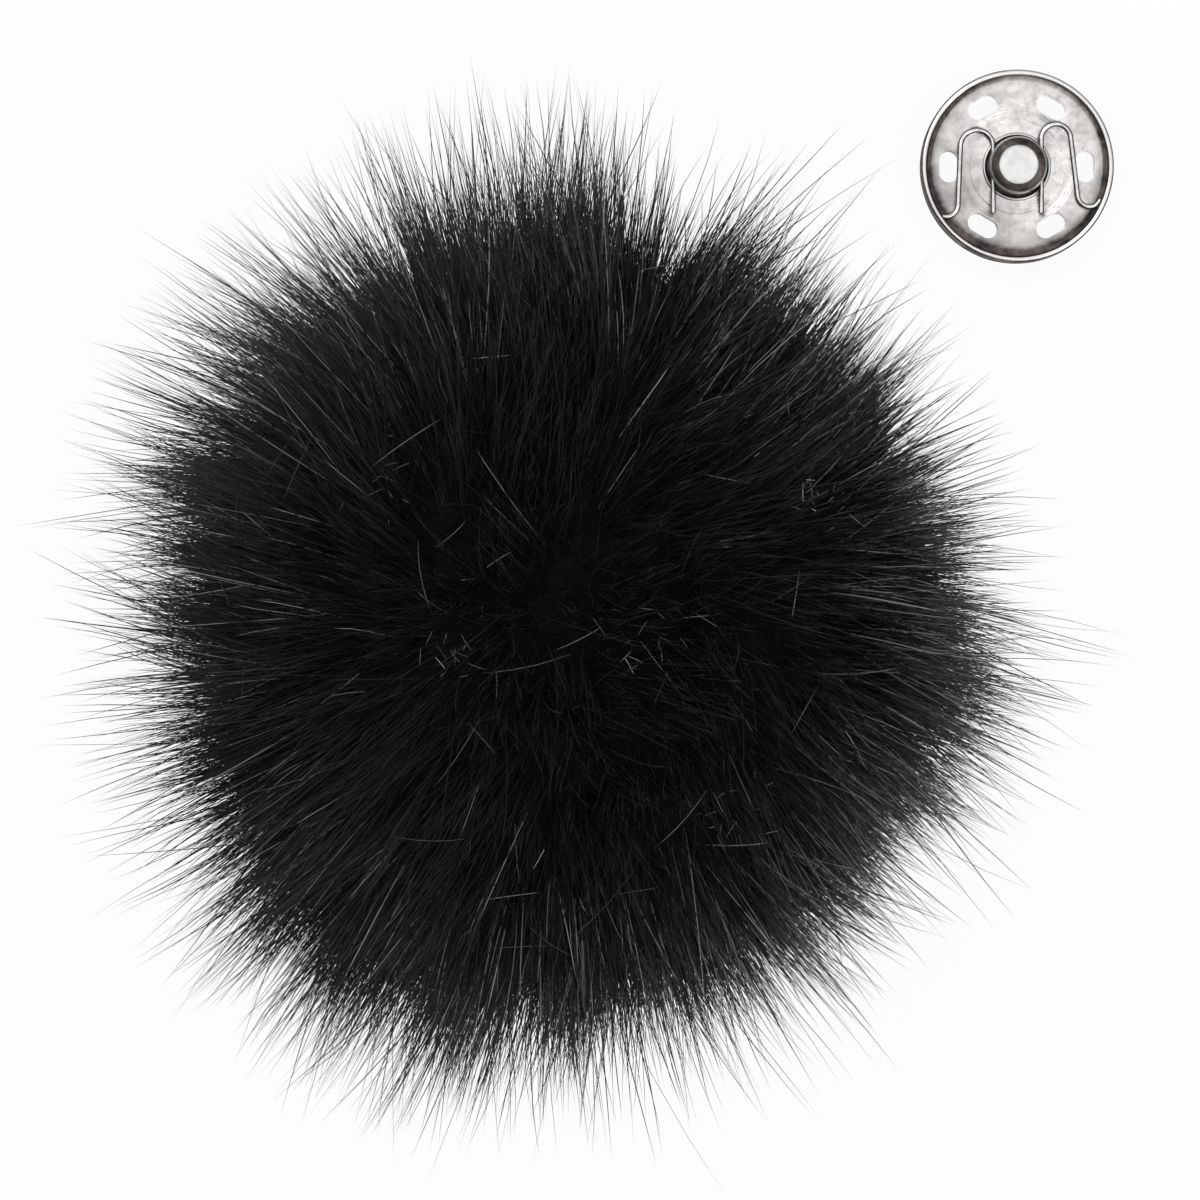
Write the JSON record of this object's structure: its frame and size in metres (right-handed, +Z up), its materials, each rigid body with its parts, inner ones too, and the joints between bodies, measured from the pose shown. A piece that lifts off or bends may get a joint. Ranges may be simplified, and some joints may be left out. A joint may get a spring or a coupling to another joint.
{
  "type": "faux fur pompom with sew-on snap fastener",
  "caption": "Ball pompom of long black faux fur with a felt base patch, and beside it the round sew-on snap fastener that attaches it, its stud and spring socket clicked together.",
  "frame": {"origin": "centre of the base patch's sewing face, on the pompom's axis", "axes": "+Z up through the pompom's crown; +X and +Y along the table, the snap lying between them; the socket's spring legs run along Y"},
  "size_m": [0.1082, 0.1099, 0.094],
  "materials": {
    "filling_fibre": "loose white polyester fibre",
    "knitted_backing": "black knitted backing of the fur",
    "underfur": "dense black crimped pile",
    "guard_hair": "long black brushed pile with a silky sheen",
    "felt": "black pressed felt",
    "thread": "black twisted polyester thread",
    "nickelled_steel": "pressed sheet with worn nickel plate, slightly tarnished",
    "spring_wire": "bright drawn spring wire"
  },
  "bodies": {
    "pompom": {"filling": "filling_fibre", "fur_backing": "knitted_backing", "underfur": "underfur", "guard_hair": "guard_hair", "gather_thread": "thread", "gather_knot": "thread", "base_patch": "felt", "patch_stitch_01": "thread", "patch_stitch_02": "thread", "patch_stitch_03": "thread", "patch_stitch_04": "thread", "patch_stitch_05": "thread", "patch_stitch_06": "thread", "patch_stitch_07": "thread", "patch_stitch_08": "thread", "patch_stitch_09": "thread", "patch_stitch_10": "thread", "patch_stitch_11": "thread", "patch_stitch_12": "thread"},
    "stud_half": {"stud_plate": "nickelled_steel", "stud": "nickelled_steel"},
    "socket_half": {"socket_plate": "nickelled_steel"},
    "spring_left": {"spring_wire_left": "spring_wire"},
    "spring_right": {"spring_wire_right": "spring_wire"}
  },
  "joints": [
    {"name": "snap_turn", "type": "hinge", "parent": "pompom", "child": "stud_half", "pos_m": [0.04779, 0.04949, -0.0137], "axis": [0, 0, 1], "continuous": true},
    {"name": "snap_pull", "type": "slide", "parent": "pompom", "child": "socket_half", "axis": [0, 0, 1], "range_m": [0, 0.008], "deforming": ["spring_wire_left", "spring_wire_right"]},
    {"name": "spring_left_open", "type": "slide", "parent": "socket_half", "child": "spring_left", "axis": [-1, 0, 0], "range_m": [0, 0.0009], "stiffness_N_per_m": 100, "deforming": ["spring_wire_left"]},
    {"name": "spring_right_open", "type": "slide", "parent": "socket_half", "child": "spring_right", "axis": [1, 0, 0], "range_m": [0, 0.0009], "deforming": ["spring_wire_right"]}
  ],
  "couplings": [
    {"joint": "spring_right_open", "follows": "spring_left_open", "ratio": 1}
  ]
}
